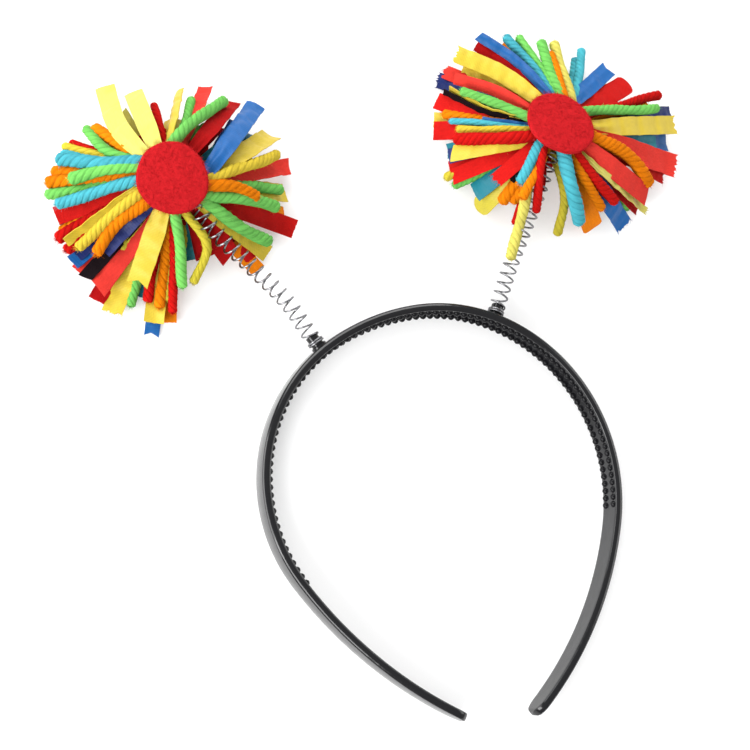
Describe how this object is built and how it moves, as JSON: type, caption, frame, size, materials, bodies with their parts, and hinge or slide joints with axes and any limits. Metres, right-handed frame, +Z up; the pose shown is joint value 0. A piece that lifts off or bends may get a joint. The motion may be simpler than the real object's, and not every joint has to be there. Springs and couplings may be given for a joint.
{
  "type": "pompom headband",
  "caption": "Toothed black plastic alice band with coil springs on pegs, each ending in a mop-like pompom of bright yarn and ribbon strips under a round felt disc.",
  "frame": {"origin": "on the surface that the headband lies on, in the lower edge of the band's wall at the middle of its top", "axes": "+Z up from the surface, +Y from the band towards the pompoms, +X to the right seen from above"},
  "size_m": [0.2291, 0.2357, 0.0284],
  "materials": {
    "black_plastic": "moulded, softly glossy",
    "spring_wire": "bright drawn wire",
    "yarn_and_ribbon": "plied acrylic yarn and satin or ribbed ribbon in red, orange, yellow, green, cyan and blue",
    "red_felt": "pressed felt"
  },
  "bodies": {
    "root": {"band": "black_plastic", "spring_left": "spring_wire", "spring_right": "spring_wire", "pompom_left": "yarn_and_ribbon", "pompom_right": "yarn_and_ribbon", "felt_disc_left": "red_felt", "felt_disc_right": "red_felt"}
  },
  "joints": []
}
